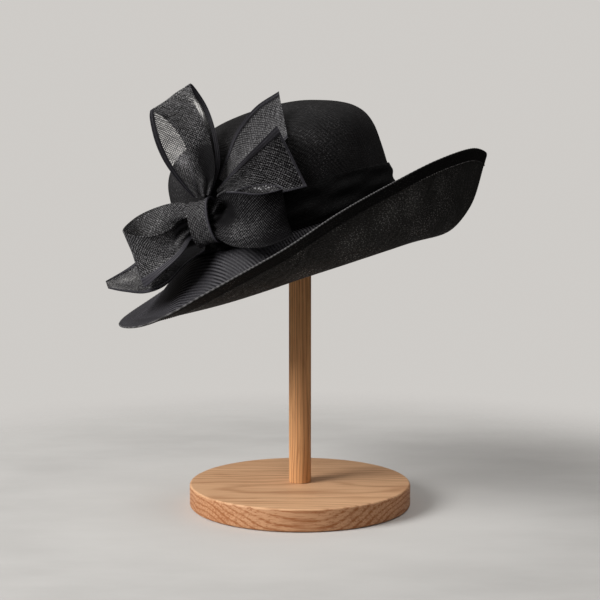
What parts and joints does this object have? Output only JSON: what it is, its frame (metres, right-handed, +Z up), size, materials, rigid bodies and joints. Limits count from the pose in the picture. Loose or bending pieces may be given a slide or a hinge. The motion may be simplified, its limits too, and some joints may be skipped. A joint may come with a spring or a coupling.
{
  "type": "sinamay hat on a wooden stand",
  "caption": "Black sinamay dress hat with an upturned brim, a draped band and a looped ribbon bow, held tilted on a round wooden stand.",
  "frame": {"origin": "centre of the round base's underside", "axes": "+Z up along the post; -X towards the wearer's front, which is the hat's low end; -Y towards the side that carries the bow"},
  "size_m": [0.3347, 0.3061, 0.3765],
  "materials": {
    "oak": "light oak with a thin satin oil",
    "crown_sinamay": "doubled black sinamay, open weave, stiffened, matt",
    "brim_sinamay": "doubled black sinamay, open weave, stiffened, with a folded edge",
    "band_sinamay": "black sinamay gathered in several layers, matt",
    "bow_sinamay": "black sinamay ribbon, single open weave with folded hems"
  },
  "bodies": {
    "root": {"stand_base": "oak", "stand_post": "oak", "stand_pad": "oak", "crown": "crown_sinamay", "brim": "brim_sinamay", "hat_band": "band_sinamay", "bow_upper_loop": "bow_sinamay", "bow_left_loop": "bow_sinamay", "bow_right_loop": "bow_sinamay", "bow_front_tail": "bow_sinamay", "bow_back_tail": "bow_sinamay", "bow_lower_tail": "bow_sinamay", "bow_knot": "bow_sinamay"}
  },
  "joints": []
}
